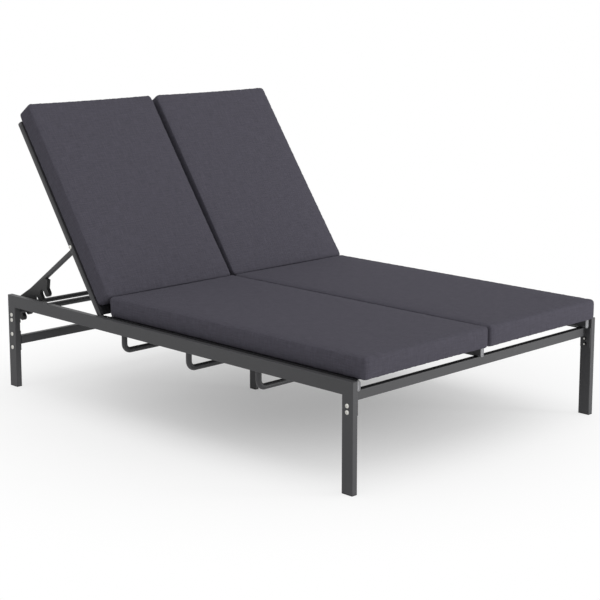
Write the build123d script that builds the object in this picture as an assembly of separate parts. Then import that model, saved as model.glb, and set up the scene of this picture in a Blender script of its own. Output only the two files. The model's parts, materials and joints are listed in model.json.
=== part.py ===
from build123d import *
import math
import os

# Double chaise lounger: a powder-coated steel frame for two people side by side, with a backrest
# for each of them that is propped up by a strut with a comb of notches, and loose cushions.
# Millimetres. +Z is up, the foot end faces -Y and the head end +Y. Left and right are as seen
# from the foot end. The origin is on the floor, in the middle of the whole outline.
# Shapes are drawn in side-view coordinates: x runs from foot to head, y is up, z runs across
# from left to right. The outer face of the foot legs is x = 0 and the floor is y = 0.

# Frame
frame_length = 1600
frame_width = 1115
frame_height = 315
member_depth = 40
member_width = 20
member_corner_radius = 2
steel_wall = 1.5
glide_thickness = 3
plug_depth = 9

# Cross bars, their welded end plates and the bolts through the legs
bar_width = 20
foot_bar_depth = 28
stretcher_depth = 28.5
stretcher_drop = 168.5
plate_thickness = 3
plate_edge_inset = 2
upper_plate_depth = 63
lower_plate_rise = 17
lower_plate_fall = 21.5
head_plate_rise = 12.5
bolt_radius = 3
bolt_head_radius = 6.75
bolt_head_height = 3.3
bolt_tip_length = 1.2
nut_across_flats = 10
nut_thickness = 4.5
upper_bolt_drops = (67.4, 85.2)
stretcher_bolt_rise = 6.5
stretcher_bolt_fall = 10.8

# Seat
tube_height = 31
tube_width = 15
rail_gap = 4.5
seat_tube_start = 10
cap_thickness = 3
cap_edge_radius = 1.4
spreader_radius = 9
spreader_setbacks = (690, 386, 78)
spreader_drop = 65
spreader_bend_radius = 23
spreader_pair_gap = 0.4
spreader_seat_depth = 4
middle_leg_depth = 29
middle_leg_setback = 123
middle_glide_thickness = 5
lug_place_shares = (0.05, 0.49, 0.94)
lug_length = 26
lug_height = 14
sling_thickness = 1
sling_hem_inset = 2
seat_sling_end_inset = 4
sling_middle_gap = 0.5

# Hinges between seat and backrests
hinge_inset = 481
hinge_setback = 31
hinge_plate_thickness = 4
hinge_plate_radius = 13.5
hinge_bolt_setbacks = (38, 13)
hinge_bolt_grip = 14
hinge_gap = 0.5
pin_radius = 4
pin_head_radius = 7
pin_head_height = 3.2
pin_end_play = 0.3
running_clearance = 0.05

# Backrests, measured along the backrest from the hinge
backrest_angle = 55
backrest_tube_depth = 22
backrest_foot = 15.5
backrest_tube_end = 728
lower_bar_centre = 120
lower_bar_radius = 9
back_sling_start = 14
strut_pivot_distance = 265

# Struts, measured along the strut from its pivot
arm_width = 14
arm_depth = 16
arm_corner_radius = 4
arm_pivot_end = 6.5
arm_spacer_length = 10
spacer_radius = 7
strut_tail = 45.7
end_tube_radius = 8
end_tube_drop = 2
locking_bar_radius = 9.5
locking_bar_inset = 29.5
locking_bar_drop = 56
locking_clearance = 0.3

# Combs on the struts
comb_thickness = 8
comb_rib_thickness = 5
comb_pitch = 45
comb_slot_width = 23
comb_slot_count = 4
comb_slot_end = 30
comb_tooth_tip = 66
comb_nose_length = 20.8
comb_nose_drop = 20
comb_shoulder_length = 6.8
comb_shoulder_drop = 6
comb_heel_setback = 17.3
comb_end_rise = 8
comb_screw_drop = 3
screw_radius = 2
screw_head_radius = 4
screw_head_height = 2.5
screw_bite = 4

# Cushions
cushion_thickness = 65
cushion_crown = 4
cushion_side_gap = 6
seat_cushion_middle_gap = 3
back_cushion_middle_gap = 19
cushion_edge_radius = 9
cushion_draw_in = 2
cushion_edge_draw = 9
seat_cushion_overhang = 20
seat_cushion_setback = 39
back_cushion_start = 41.5
back_cushion_end = 760
soft_gap = 0.3
# Across the cushion: where each rib of the loft lies in its half width, and how far it swells
rib_place_shares = (0, 0.012, 0.035, 0.15, 0.45, 1)
rib_swell_shares = (0, 0.62, 1, 1, 1, 1)
rib_crown_shares = (0.05, 0.12, 0.25, 0.62, 0.9, 1)

overrun = 5

# Places worked out from the sizes above
hinge_distance = frame_length - hinge_inset
seat_tube_end = hinge_distance - hinge_setback
spreader_centres = [seat_tube_end - setback for setback in spreader_setbacks]
middle_leg_start = seat_tube_end - middle_leg_setback
hinge_bolt_distances = [seat_tube_end - setback for setback in hinge_bolt_setbacks]
stretcher_height = frame_height - stretcher_drop
upper_bolt_heights = [frame_height - drop for drop in upper_bolt_drops]
lower_bolt_heights = [stretcher_height + stretcher_depth + stretcher_bolt_rise,
                      stretcher_height - stretcher_bolt_fall]
locking_bar_distance = frame_length - locking_bar_inset
locking_bar_height = frame_height - locking_bar_drop
half_width = frame_width / 2
rail_inner = half_width - member_width
plate_inner = rail_inner - plate_thickness
outer_tube_across = rail_inner - rail_gap - tube_width / 2
seat_tube_bottom = frame_height - sling_thickness - tube_height
seat_axis_height = seat_tube_bottom + tube_height / 2
outer_plate_across = outer_tube_across - tube_width / 2 - hinge_plate_thickness
back_outer_across = outer_plate_across + hinge_plate_thickness + hinge_gap + tube_width / 2
back_inner_across = tube_width + hinge_plate_thickness + hinge_gap
back_centre_across = (back_outer_across + back_inner_across) / 2
arm_outer_across = back_outer_across - tube_width / 2 - arm_spacer_length
arm_across = arm_outer_across - arm_width / 2

# The strut leans until its comb holds the locking bar at the closed end of the last slot
rest_angle = math.radians(backrest_angle)
pivot_distance = hinge_distance + strut_pivot_distance * math.cos(rest_angle)
pivot_height = seat_axis_height + strut_pivot_distance * math.sin(rest_angle)
bar_run = locking_bar_distance - pivot_distance
bar_drop = pivot_height - locking_bar_height
bar_reach = math.hypot(bar_run, bar_drop)
bar_depth = comb_slot_end + locking_bar_radius + locking_clearance
strut_angle = math.degrees(math.atan2(bar_drop, bar_run) - math.asin(bar_depth / bar_reach))
last_slot = math.sqrt(bar_reach ** 2 - bar_depth ** 2)
slot_centres = [last_slot - comb_pitch * step for step in range(comb_slot_count)]
tooth_width = comb_pitch - comb_slot_width
tooth_centres = [last_slot + comb_pitch / 2 - comb_pitch * step for step in range(comb_slot_count + 1)]
strut_length = last_slot + strut_tail
comb_screw_distances = (slot_centres[2], tooth_centres[0])

# Places of the backrest and strut, each with x along it, y square to it and z across
back_place = Pos(hinge_distance, seat_axis_height, 0) * Rot(0, 0, backrest_angle)
strut_place = Pos(pivot_distance, pivot_height, 0) * Rot(0, 0, -strut_angle)


def block(x0, x1, y0, y1, z0, z1):
    """A plain block between two corners."""
    middle = Pos((x0 + x1) / 2, (y0 + y1) / 2, (z0 + z1) / 2)
    return middle * Box(x1 - x0, y1 - y0, z1 - z0)


def other_side(shape):
    """The same piece on the other half of the lounger."""
    return mirror(shape, about=Plane.XY)


def across_backrest(shape):
    """The same piece on the other side of the left backrest."""
    return mirror(shape, about=Plane.XY.offset(-back_centre_across))


def along(profile, start, end):
    """A profile (up, across) pushed along x."""
    return extrude(Plane.YZ.offset(start) * profile, end - start)


def across(profile, start, end):
    """A profile (along, up) pushed across along z."""
    return extrude(Plane.XY.offset(start) * profile, end - start)


def flat_oval(height, inset=0):
    """The outline of a flat-oval tube, its long way up."""
    return SlotOverall(height - 2 * inset, tube_width - 2 * inset)


def rounded(width, height, radius, inset=0):
    """A rectangle with rounded corners, made smaller all round by the inset."""
    corner = max(radius - inset, radius / 4)
    return RectangleRounded(width - 2 * inset, height - 2 * inset, corner)


def oval_tube(height, start, end):
    """A hollow flat-oval tube along x."""
    return along(flat_oval(height) - flat_oval(height, steel_wall), start, end)


def oval_cap(height):
    """A plastic cap that closes the end of a flat-oval tube, its tube side at x = 0."""
    lid = along(flat_oval(height), 0, cap_thickness)
    lid = fillet(lid.edges().group_by(Axis.X)[-1], cap_edge_radius)
    plug = along(flat_oval(height, steel_wall), -plug_depth, 0)
    return lid + plug


def turned_round(shape):
    """The same piece facing the other way along x."""
    return mirror(shape, about=Plane.YZ)


def holes(places, radius):
    """Drills straight across the whole lounger at (along, up) places."""
    length = frame_width + overrun
    return [Pos(x, y, 0) * Cylinder(radius, length) for x, y in places]


def dome(radius, height):
    """A domed head that stands out towards -z from the plane z = 0."""
    rim = (radius, 0)
    crown = (0, height)
    swell = (height ** 2 - radius ** 2) / (2 * height)
    ball = height - swell
    lean = math.atan2(radius, -swell) / 2
    middle = (ball * math.sin(lean), swell + ball * math.cos(lean))
    edge = ThreePointArc(rim, middle, crown) + Line(crown, (0, 0)) + Line((0, 0), rim)
    head = revolve(Plane.XZ * make_face(edge), Axis.Z)
    return mirror(head, about=Plane.XY)


def bolt(length, radius=bolt_radius, head_radius=bolt_head_radius, head_height=bolt_head_height):
    """A dome-headed bolt across, the underside of its head at z = 0 and its tip towards +z."""
    shank = across(Circle(radius), 0, length)
    return dome(head_radius, head_height) + shank


def nut(radius=bolt_radius):
    """A hexagon nut across, seated at z = 0."""
    hexagon = RegularPolygon(nut_across_flats / 2, 6, major_radius=False, rotation=90)
    return across(hexagon - Circle(radius), 0, nut_thickness)


def pivot_pin(grip):
    """A pin across with a domed head at each end, z = 0 at the underside of the first head."""
    shank = across(Circle(pin_radius), 0, grip)
    first = dome(pin_head_radius, pin_head_height)
    second = Pos(0, 0, grip) * mirror(dome(pin_head_radius, pin_head_height), about=Plane.XY)
    return shank + first + second


# Frame pieces

def side_rail():
    """The left rail, mitred to the legs at both ends."""
    outline = rounded(member_depth, member_width, member_corner_radius)
    hollow = rounded(member_depth, member_width, member_corner_radius, steel_wall)
    centre = Pos(0, frame_height - member_depth / 2, -half_width + member_width / 2)
    tube = centre * along(outline - hollow, 0, frame_length)
    top = Polyline((0, frame_height), (frame_length, frame_height), (frame_length - member_depth,
                   frame_height - member_depth), (member_depth, frame_height - member_depth), close=True)
    return tube & across(make_face(top), -half_width - overrun, 0)


def leg(bolt_heights):
    """The left foot-end leg, mitred to the rail and drilled for its bolts."""
    outline = rounded(member_width, member_depth, member_corner_radius)
    hollow = rounded(member_width, member_depth, member_corner_radius, steel_wall)
    place = Pos(member_depth / 2, 0, -half_width + member_width / 2)
    tube = extrude(Plane.ZX.offset(glide_thickness) * (outline - hollow), frame_height - glide_thickness)
    front = Polyline((0, 0), (0, frame_height), (member_depth, frame_height - member_depth),
                     (member_depth, 0), close=True)
    tube = place * tube & across(make_face(front), -half_width - overrun, 0)
    for drill in holes([(member_depth / 2, height) for height in bolt_heights], bolt_radius):
        tube = tube - drill
    return tube


def head_leg():
    """The left head-end leg: the foot-end leg turned round, with four bolts."""
    turned = turned_round(leg(upper_bolt_heights + lower_bolt_heights))
    return Pos(frame_length, 0, 0) * turned


def glide(width, depth, thickness, radius):
    """A plastic foot that plugs into a leg from below, standing on y = 0."""
    sole = extrude(Plane.ZX * rounded(width, depth, radius), thickness)
    plug = extrude(Plane.ZX.offset(thickness) * rounded(width, depth, radius, steel_wall), plug_depth)
    return sole + plug


def leg_glides():
    """The feet of the four corner legs and of the middle leg."""
    corner = glide(member_width, member_depth, glide_thickness, member_corner_radius)
    feet = []
    for x in (member_depth / 2, frame_length - member_depth / 2):
        for z in (-half_width + member_width / 2, half_width - member_width / 2):
            feet.append(Pos(x, 0, z) * corner)
    middle = glide(tube_width, middle_leg_depth, middle_glide_thickness, member_corner_radius)
    feet.append(Pos(middle_leg_start + middle_leg_depth / 2, 0, 0) * middle)
    return feet


def cross_bar(x, y, depth):
    """A rectangular bar from plate to plate, its foot-side lower edge at (x, y)."""
    outline = rounded(bar_width, depth, member_corner_radius)
    hollow = rounded(bar_width, depth, member_corner_radius, steel_wall)
    bar = across(outline - hollow, -plate_inner, plate_inner)
    return Pos(x + bar_width / 2, y + depth / 2, 0) * bar


def foot_cross_bar():
    """The bar that carries the foot ends of the seat tubes."""
    return cross_bar(member_depth - bar_width, seat_tube_bottom - foot_bar_depth, foot_bar_depth)


def rear_stretcher():
    """The low bar between the head legs."""
    return cross_bar(frame_length - member_depth, stretcher_height, stretcher_depth)


def head_cross_tube():
    """The round tube between the head legs that the combs hook onto."""
    ring = Circle(locking_bar_radius) - Circle(locking_bar_radius - steel_wall)
    return Pos(locking_bar_distance, locking_bar_height, 0) * across(ring, -plate_inner, plate_inner)


def end_plate(start, bottom, top, bolt_heights):
    """A left end plate with its bolt holes, on the inner face of the leg that starts at the given x."""
    plate = block(start + plate_edge_inset, start + member_depth - plate_edge_inset,
                  bottom, top, -rail_inner, -plate_inner)
    for drill in holes([(start + member_depth / 2, height) for height in bolt_heights], bolt_radius):
        plate = plate - drill
    return plate


def cross_bar_plates():
    """The plates welded to the ends of the three cross members."""
    head = frame_length - member_depth
    upper_bottom = seat_tube_bottom - upper_plate_depth
    head_top = locking_bar_height + head_plate_rise
    lower_bottom = stretcher_height - lower_plate_fall
    lower_top = stretcher_height + stretcher_depth + lower_plate_rise
    left = [end_plate(0, upper_bottom, seat_tube_bottom, upper_bolt_heights),
            end_plate(head, upper_bottom, head_top, upper_bolt_heights),
            end_plate(head, lower_bottom, lower_top, lower_bolt_heights)]
    return left + [other_side(plate) for plate in left]


def frame_bolt_places():
    """Where the bolts pass through the left legs."""
    foot = [(member_depth / 2, height) for height in upper_bolt_heights]
    head = [(frame_length - member_depth / 2, height) for height in upper_bolt_heights + lower_bolt_heights]
    return foot + head


def frame_bolts():
    """The dome-headed bolts through the legs and through the hinge plates."""
    length = member_width + plate_thickness + nut_thickness + bolt_tip_length
    left = [Pos(x, y, -half_width) * bolt(length) for x, y in frame_bolt_places()]
    for x in hinge_bolt_distances:
        inward = other_side(bolt(hinge_bolt_grip))
        left.append(Pos(x, seat_axis_height, -outer_plate_across) * inward)
    both = left + [other_side(piece) for piece in left]
    middle_face = tube_width / 2 + hinge_plate_thickness
    middle_grip = hinge_plate_thickness + tube_width / 2
    for x in hinge_bolt_distances:
        outward = Pos(x, seat_axis_height, -middle_face) * bolt(middle_grip)
        both = both + [outward, other_side(outward)]
    return both


def frame_nuts():
    """The nuts behind the end plates."""
    left = [Pos(x, y, -plate_inner) * nut() for x, y in frame_bolt_places()]
    return left + [other_side(piece) for piece in left]


# Seat pieces

def seat_tube(z, face_holes):
    """A seat tube at the given place across, drilled for the bolts of its hinge plates."""
    tube = Pos(0, seat_axis_height, z) * oval_tube(tube_height, seat_tube_start, seat_tube_end)
    for drill in face_holes:
        tube = tube - drill
    return tube


def left_seat_tube():
    """The left outer seat tube."""
    places = [(x, seat_axis_height) for x in hinge_bolt_distances]
    inner_wall = block(0, frame_length, 0, frame_height, -outer_tube_across, 0)
    drills = [drill & inner_wall for drill in holes(places, bolt_radius)]
    return seat_tube(-outer_tube_across, drills)


def middle_seat_tube():
    """The middle seat tube, shared by both seats."""
    places = [(x, seat_axis_height) for x in hinge_bolt_distances]
    return seat_tube(0, holes(places, bolt_radius))


def seat_tube_caps():
    """The light caps in both ends of the three seat tubes."""
    caps = []
    for z in (-outer_tube_across, 0, outer_tube_across):
        caps.append(Pos(seat_tube_end, seat_axis_height, z) * oval_cap(tube_height))
        caps.append(Pos(seat_tube_start, seat_axis_height, z) * turned_round(oval_cap(tube_height)))
    return caps


def seat_tube_lugs():
    """Small blocks welded between the side rails and the outer seat tubes."""
    low = seat_axis_height - lug_height / 2
    run = seat_tube_end - seat_tube_start
    lug_centres = [seat_tube_start + share * run for share in lug_place_shares]
    left = [block(x - lug_length / 2, x + lug_length / 2, low, low + lug_height,
                  -rail_inner, -rail_inner + rail_gap) for x in lug_centres]
    return left + [other_side(lug) for lug in left]


def spreader(x):
    """A left U-shaped spreader between the outer and the middle seat tube, coped to both."""
    outer = -outer_tube_across
    inner = -spreader_radius - spreader_pair_gap / 2
    top = seat_tube_bottom + spreader_seat_depth
    run = seat_tube_bottom - spreader_drop
    path = FilletPolyline((x, top, outer), (x, run, outer), (x, run, inner),
                          (x, top, inner), radius=spreader_bend_radius)
    ring = Circle(spreader_radius) - Circle(spreader_radius - steel_wall)
    tube = sweep(Plane(origin=(x, top, outer), z_dir=(0, -1, 0)) * ring, path=path)
    for z in (outer, 0):
        cope = Pos(0, seat_axis_height, z) * along(flat_oval(tube_height), seat_tube_start, seat_tube_end)
        tube = tube - cope
    return tube


def middle_leg():
    """The leg under the middle seat tube, coped to it."""
    outline = rounded(tube_width, middle_leg_depth, member_corner_radius)
    hollow = rounded(tube_width, middle_leg_depth, member_corner_radius, steel_wall)
    length = seat_tube_bottom + tube_width / 2 - middle_glide_thickness
    tube = extrude(Plane.ZX.offset(middle_glide_thickness) * (outline - hollow), length)
    tube = Pos(middle_leg_start + middle_leg_depth / 2, 0, 0) * tube
    cope = Pos(0, seat_axis_height, 0) * along(flat_oval(tube_height), seat_tube_start, seat_tube_end)
    return tube - cope


def left_seat_sling():
    """The sheet stretched over the left seat."""
    top = frame_height
    start = seat_tube_start + seat_sling_end_inset
    end = seat_tube_end - seat_sling_end_inset
    outer = outer_tube_across + tube_width / 2 - sling_hem_inset
    return block(start, end, top - sling_thickness, top, -outer, -sling_middle_gap)


# Hinge pieces

def hinge_plate(inner_face):
    """A hinge plate whose face nearer the middle lies at the given place across."""
    front = hinge_bolt_distances[0] - hinge_plate_thickness
    slot = SlotCenterToCenter(hinge_distance - front, 2 * hinge_plate_radius)
    plate = across(slot, inner_face, inner_face + hinge_plate_thickness)
    plate = Pos((front + hinge_distance) / 2, seat_axis_height, 0) * plate
    bolts = holes([(x, seat_axis_height) for x in hinge_bolt_distances], bolt_radius)
    pin = holes([(hinge_distance, seat_axis_height)], pin_radius)
    for drill in bolts + pin:
        plate = plate - drill
    return plate


def hinge_plates():
    """The plates at the outer seat tubes and on both sides of the middle one."""
    right = [hinge_plate(outer_plate_across), hinge_plate(tube_width / 2)]
    return right + [other_side(plate) for plate in right]


def backrest_pivot_pins():
    """The pins that the backrests turn on: one at each side and one through the middle."""
    side_grip = hinge_plate_thickness + hinge_gap + tube_width + pin_end_play
    outer_face = back_outer_across + tube_width / 2 + pin_end_play
    left = Pos(hinge_distance, seat_axis_height, -outer_face) * pivot_pin(side_grip)
    middle_half = back_inner_across + tube_width / 2 + pin_end_play
    middle = Pos(hinge_distance, seat_axis_height, -middle_half) * pivot_pin(2 * middle_half)
    return [left, middle, other_side(left)]


# Backrest pieces, drawn along the backrest from the hinge

def backrest_tube(z):
    """A side tube of the left backrest with its two pivot holes."""
    tube = Pos(0, 0, z) * oval_tube(backrest_tube_depth, -backrest_foot, backrest_tube_end)
    hinge_hole = Pos(0, 0, z) * Cylinder(pin_radius + running_clearance, tube_width + overrun)
    strut_hole = Pos(strut_pivot_distance, 0, z) * Cylinder(pin_radius, tube_width + overrun)
    return tube - hinge_hole - strut_hole


def backrest_cross_length():
    """The inner faces of the left backrest's side tubes, as places across."""
    return -back_outer_across + tube_width / 2, -back_inner_across - tube_width / 2


def backrest_top_bar():
    """The flat-oval bar across the top of the left backrest."""
    start, end = backrest_cross_length()
    outline = SlotOverall(backrest_tube_depth, tube_width, rotation=90)
    hollow = SlotOverall(backrest_tube_depth - 2 * steel_wall, tube_width - 2 * steel_wall, rotation=90)
    bar = across(outline - hollow, start, end)
    return Pos(backrest_tube_end - tube_width / 2, 0, 0) * bar


def backrest_lower_bar():
    """The round bar across the lower part of the left backrest."""
    start, end = backrest_cross_length()
    ring = Circle(lower_bar_radius) - Circle(lower_bar_radius - steel_wall)
    return Pos(lower_bar_centre, 0, 0) * across(ring, start, end)


def backrest_tube_caps():
    """The caps in both ends of the left backrest's side tubes."""
    caps = []
    for z in (-back_outer_across, -back_inner_across):
        caps.append(Pos(backrest_tube_end, 0, z) * oval_cap(backrest_tube_depth))
        caps.append(Pos(-backrest_foot, 0, z) * turned_round(oval_cap(backrest_tube_depth)))
    return caps


def backrest_sling():
    """The sheet stretched over the left backrest."""
    outer = back_outer_across + tube_width / 2 - sling_hem_inset
    inner = back_inner_across - tube_width / 2 + sling_hem_inset
    bottom = backrest_tube_depth / 2
    return block(back_sling_start, backrest_tube_end, bottom, bottom + sling_thickness, -outer, -inner)


def strut_pivot_bolts():
    """The bolts, spacers and locknuts that hold the left strut between the backrest's side tubes."""
    outer_face = back_outer_across + tube_width / 2
    grip = tube_width + arm_spacer_length + arm_width + pin_end_play
    length = grip + nut_thickness + bolt_tip_length
    head = bolt(length, pin_radius, bolt_head_radius, bolt_head_height)
    ring = Circle(spacer_radius) - Circle(pin_radius)
    spacer = across(ring, tube_width, tube_width + arm_spacer_length - hinge_gap)
    wide_nut = across(Circle(spacer_radius) - Circle(pin_radius), grip, grip + nut_thickness)
    outer = [Pos(strut_pivot_distance, 0, -outer_face) * piece for piece in (head, spacer, wide_nut)]
    return outer + [across_backrest(piece) for piece in outer]


# Strut pieces, drawn along the strut from its pivot

def strut_arm():
    """The left strut's outer arm, coped to the end tube and drilled for its pivot and screws."""
    outline = rounded(arm_depth, arm_width, arm_corner_radius)
    hollow = rounded(arm_depth, arm_width, arm_corner_radius, steel_wall)
    arm = Pos(0, 0, -arm_across) * along(outline - hollow, -arm_pivot_end, strut_length)
    arm = arm - Pos(0, 0, -arm_across) * Cylinder(pin_radius + running_clearance, arm_width + overrun)
    end_place = Pos(strut_length, -end_tube_drop, -arm_across)
    arm = arm - end_place * Cylinder(end_tube_radius, arm_width + overrun)
    for x in comb_screw_distances:
        drill = across(Circle(screw_radius), -arm_outer_across - overrun, -arm_across)
        arm = arm - Pos(x, -comb_screw_drop, 0) * drill
    return arm


def strut_end_tube():
    """The round tube that joins the lower ends of the left strut's arms."""
    outer = -arm_outer_across
    inner = -2 * back_centre_across + arm_outer_across
    ring = Circle(end_tube_radius) - Circle(end_tube_radius - steel_wall)
    return Pos(strut_length, -end_tube_drop, 0) * across(ring, outer, inner)


def comb_face():
    """The comb's side view: a sloping plate with round-ended slots and rounded teeth."""
    slot_radius = comb_slot_width / 2
    root = -comb_slot_end - slot_radius
    end = tooth_centres[0] + tooth_width / 2
    start = tooth_centres[-1] - tooth_width / 2
    nose = start - comb_nose_length
    shoulder = start - comb_shoulder_length
    heel = last_slot - comb_heel_setback
    plate = Polyline((nose, -comb_nose_drop), (shoulder, -comb_shoulder_drop),
                     (heel, comb_end_rise), (end, comb_end_rise),
                     (end, root), (start, root), close=True)
    face = make_face(plate)
    for x in tooth_centres:
        tooth_length = comb_tooth_tip - comb_slot_end
        tooth = SlotOverall(tooth_length, tooth_width, rotation=90)
        face = face + Pos(x, -comb_slot_end - tooth_length / 2) * tooth
    for x in slot_centres:
        face = face - Pos(x, root) * Circle(slot_radius)
    return face


def strut_comb():
    """The comb on the outside of the left strut's outer arm, thicker below the arm, with screw recesses."""
    outside = across(comb_face(), -arm_outer_across - comb_thickness, -arm_outer_across)
    under = block(0, strut_length, -comb_tooth_tip - overrun, -arm_depth / 2,
                  -arm_outer_across, -arm_outer_across + comb_rib_thickness)
    rib = across(comb_face(), -arm_outer_across, -arm_outer_across + comb_rib_thickness) & under
    comb = outside + rib
    for x in comb_screw_distances:
        comb = comb - Pos(x, -comb_screw_drop, 0) * comb_screw()
    return comb


def comb_screw():
    """A screw that is flush with the comb's outer face and bites into the arm."""
    face = -arm_outer_across - comb_thickness
    head = across(Circle(screw_head_radius), face, face + screw_head_height)
    shank = across(Circle(screw_radius), face, -arm_outer_across + screw_bite)
    return head + shank


def comb_screws():
    """The four screws of the left strut's combs."""
    outer = [Pos(x, -comb_screw_drop, 0) * comb_screw() for x in comb_screw_distances]
    return outer + [across_backrest(screw) for screw in outer]


# Cushions

def cushion_rib(length, sides, crown, inset):
    """One outline (along, up) across a cushion: a flat base, drawn-in ends and a crowned top."""
    r = cushion_edge_radius
    low = inset
    high = sides - inset
    left = inset
    right = length - inset
    near = r * (1 - math.sqrt(0.5))
    waist = (low + high) / 2
    edges = Line((left + r, low), (right - r, low))
    edges += ThreePointArc((right - r, low), (right - near, low + near), (right, low + r))
    edges += ThreePointArc((right, low + r), (right - cushion_draw_in, waist), (right, high - r))
    edges += ThreePointArc((right, high - r), (right - near, high - near), (right - r, high))
    edges += ThreePointArc((right - r, high), (length / 2, high + crown), (left + r, high))
    edges += ThreePointArc((left + r, high), (left + near, high - near), (left, high - r))
    edges += ThreePointArc((left, high - r), (left + cushion_draw_in, waist), (left, low + r))
    edges += ThreePointArc((left, low + r), (left + near, low + near), (left + r, low))
    return make_face(edges)


def cushion(start, end, base, middle_gap):
    """A left cushion between two places along, its base at the given height."""
    outer = rail_inner - cushion_side_gap
    width = outer - middle_gap / 2
    sides = cushion_thickness - cushion_crown
    half = []
    for place, swell, crown in zip(rib_place_shares, rib_swell_shares, rib_crown_shares):
        inset = cushion_edge_draw * (1 - swell)
        half.append((place * width / 2, cushion_rib(end - start, sides, crown * cushion_crown, inset)))
    whole = half + [(width - z, rib) for z, rib in reversed(half[:-1])]
    ribs = [Pos(start, base, z - outer) * rib for z, rib in whole]
    return loft(ribs, ruled=True)


def left_seat_cushion():
    """The long cushion of the left seat."""
    end = hinge_distance - seat_cushion_setback
    return cushion(-seat_cushion_overhang, end, frame_height + soft_gap, seat_cushion_middle_gap)


def left_back_cushion():
    """The cushion of the left backrest, along the backrest."""
    base = backrest_tube_depth / 2 + sling_thickness + soft_gap
    return cushion(back_cushion_start, back_cushion_end, base, back_cushion_middle_gap)


def frame_pieces():
    """Every piece that stays still."""
    pieces = {
        "foot_cross_bar": [foot_cross_bar()],
        "head_cross_tube": [head_cross_tube()],
        "rear_stretcher": [rear_stretcher()],
        "cross_bar_plates": cross_bar_plates(),
        "frame_bolts": frame_bolts(),
        "frame_nuts": frame_nuts(),
        "leg_glides": leg_glides(),
        "middle_leg": [middle_leg()],
        "middle_seat_tube": [middle_seat_tube()],
        "seat_tube_caps": seat_tube_caps(),
        "seat_tube_lugs": seat_tube_lugs(),
        "hinge_plates": hinge_plates(),
        "backrest_pivot_pins": backrest_pivot_pins(),
    }
    left = {
        "side_rail": side_rail(),
        "foot_leg": leg(upper_bolt_heights),
        "head_leg": head_leg(),
        "seat_tube": left_seat_tube(),
        "seat_sling": left_seat_sling(),
        "seat_cushion": left_seat_cushion(),
    }
    for name, x in zip(("foot_spreader", "middle_spreader", "head_spreader"), spreader_centres):
        left[name] = spreader(x)
    for name, shape in left.items():
        pieces["left_" + name] = [shape]
        pieces["right_" + name] = [other_side(shape)]
    return pieces


def moving_pieces():
    """The left backrest and its strut, each along its own place, and the same on the right."""
    backrest = {
        "backrest_outer_tube": [backrest_tube(-back_outer_across)],
        "backrest_inner_tube": [backrest_tube(-back_inner_across)],
        "backrest_top_bar": [backrest_top_bar()],
        "backrest_lower_bar": [backrest_lower_bar()],
        "backrest_tube_caps": backrest_tube_caps(),
        "backrest_sling": [backrest_sling()],
        "back_cushion": [left_back_cushion()],
        "strut_pivot_bolts": strut_pivot_bolts(),
    }
    strut = {
        "strut_outer_arm": [strut_arm()],
        "strut_inner_arm": [across_backrest(strut_arm())],
        "strut_end_tube": [strut_end_tube()],
        "strut_outer_comb": [strut_comb()],
        "strut_inner_comb": [across_backrest(strut_comb())],
        "comb_screws": comb_screws(),
    }
    pieces = {}
    for place, group in ((back_place, backrest), (strut_place, strut)):
        for name, solids in group.items():
            left = [place * solid for solid in solids]
            pieces["left_" + name] = left
            pieces["right_" + name] = [other_side(solid) for solid in left]
    return pieces


def main():
    """Centre the whole lounger over the origin and write one file for each piece."""
    pieces = frame_pieces()
    pieces.update(moving_pieces())
    everything = Compound(children=[solid.solid() for solids in pieces.values() for solid in solids])
    outline = everything.bounding_box()
    middle = (outline.min.X + outline.max.X) / 2
    stand = Plane(origin=(0, -middle, 0), x_dir=(0, 1, 0), z_dir=(1, 0, 0)).location
    os.makedirs("parts", exist_ok=True)
    for name, solids in pieces.items():
        placed = [stand * solid.solid() for solid in solids]
        shape = placed[0] if len(placed) == 1 else Compound(children=placed)
        export_step(shape, f"parts/{name}.step")
    print("pieces", len(pieces))
    print("hinge", hinge_distance - middle, seat_axis_height)
    print("strut pivot", pivot_distance - middle, pivot_height)
    print("locking bar", locking_bar_distance - middle, locking_bar_height)
    print("strut angle", strut_angle, "slots", [round(x, 1) for x in slot_centres])
    print("outline", outline.size)


main()
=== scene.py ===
import json
import math

import bmesh
import bpy
import numpy as np
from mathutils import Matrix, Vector


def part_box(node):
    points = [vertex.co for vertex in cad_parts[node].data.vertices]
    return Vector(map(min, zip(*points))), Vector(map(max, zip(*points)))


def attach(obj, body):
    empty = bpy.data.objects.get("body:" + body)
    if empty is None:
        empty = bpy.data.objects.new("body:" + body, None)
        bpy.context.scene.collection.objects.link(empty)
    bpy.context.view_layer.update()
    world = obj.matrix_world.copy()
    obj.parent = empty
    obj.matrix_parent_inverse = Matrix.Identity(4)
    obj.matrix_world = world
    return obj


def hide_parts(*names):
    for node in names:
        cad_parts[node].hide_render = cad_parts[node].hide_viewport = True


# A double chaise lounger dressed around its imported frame. Metres, +Z up, foot end towards -Y.

bl_info = {
    "name": "Double Chaise Lounger",
    "version": (1, 0, 0),
    "blender": (4, 5, 0),
    "location": "View3D > Sidebar > Lounger",
    "description": "Builds the cushions, slings, fittings and finishes of a double chaise lounger",
    "category": "Add Mesh",
}

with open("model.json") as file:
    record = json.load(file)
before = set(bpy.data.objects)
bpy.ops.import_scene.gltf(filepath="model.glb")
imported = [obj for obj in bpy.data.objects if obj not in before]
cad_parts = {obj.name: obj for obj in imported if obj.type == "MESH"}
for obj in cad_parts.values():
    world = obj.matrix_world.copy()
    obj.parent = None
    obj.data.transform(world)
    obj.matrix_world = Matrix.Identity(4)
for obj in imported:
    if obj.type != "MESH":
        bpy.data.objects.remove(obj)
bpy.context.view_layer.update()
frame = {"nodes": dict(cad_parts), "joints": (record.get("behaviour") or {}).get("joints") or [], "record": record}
MM = 0.001
SIDES = ("left", "right")

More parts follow.
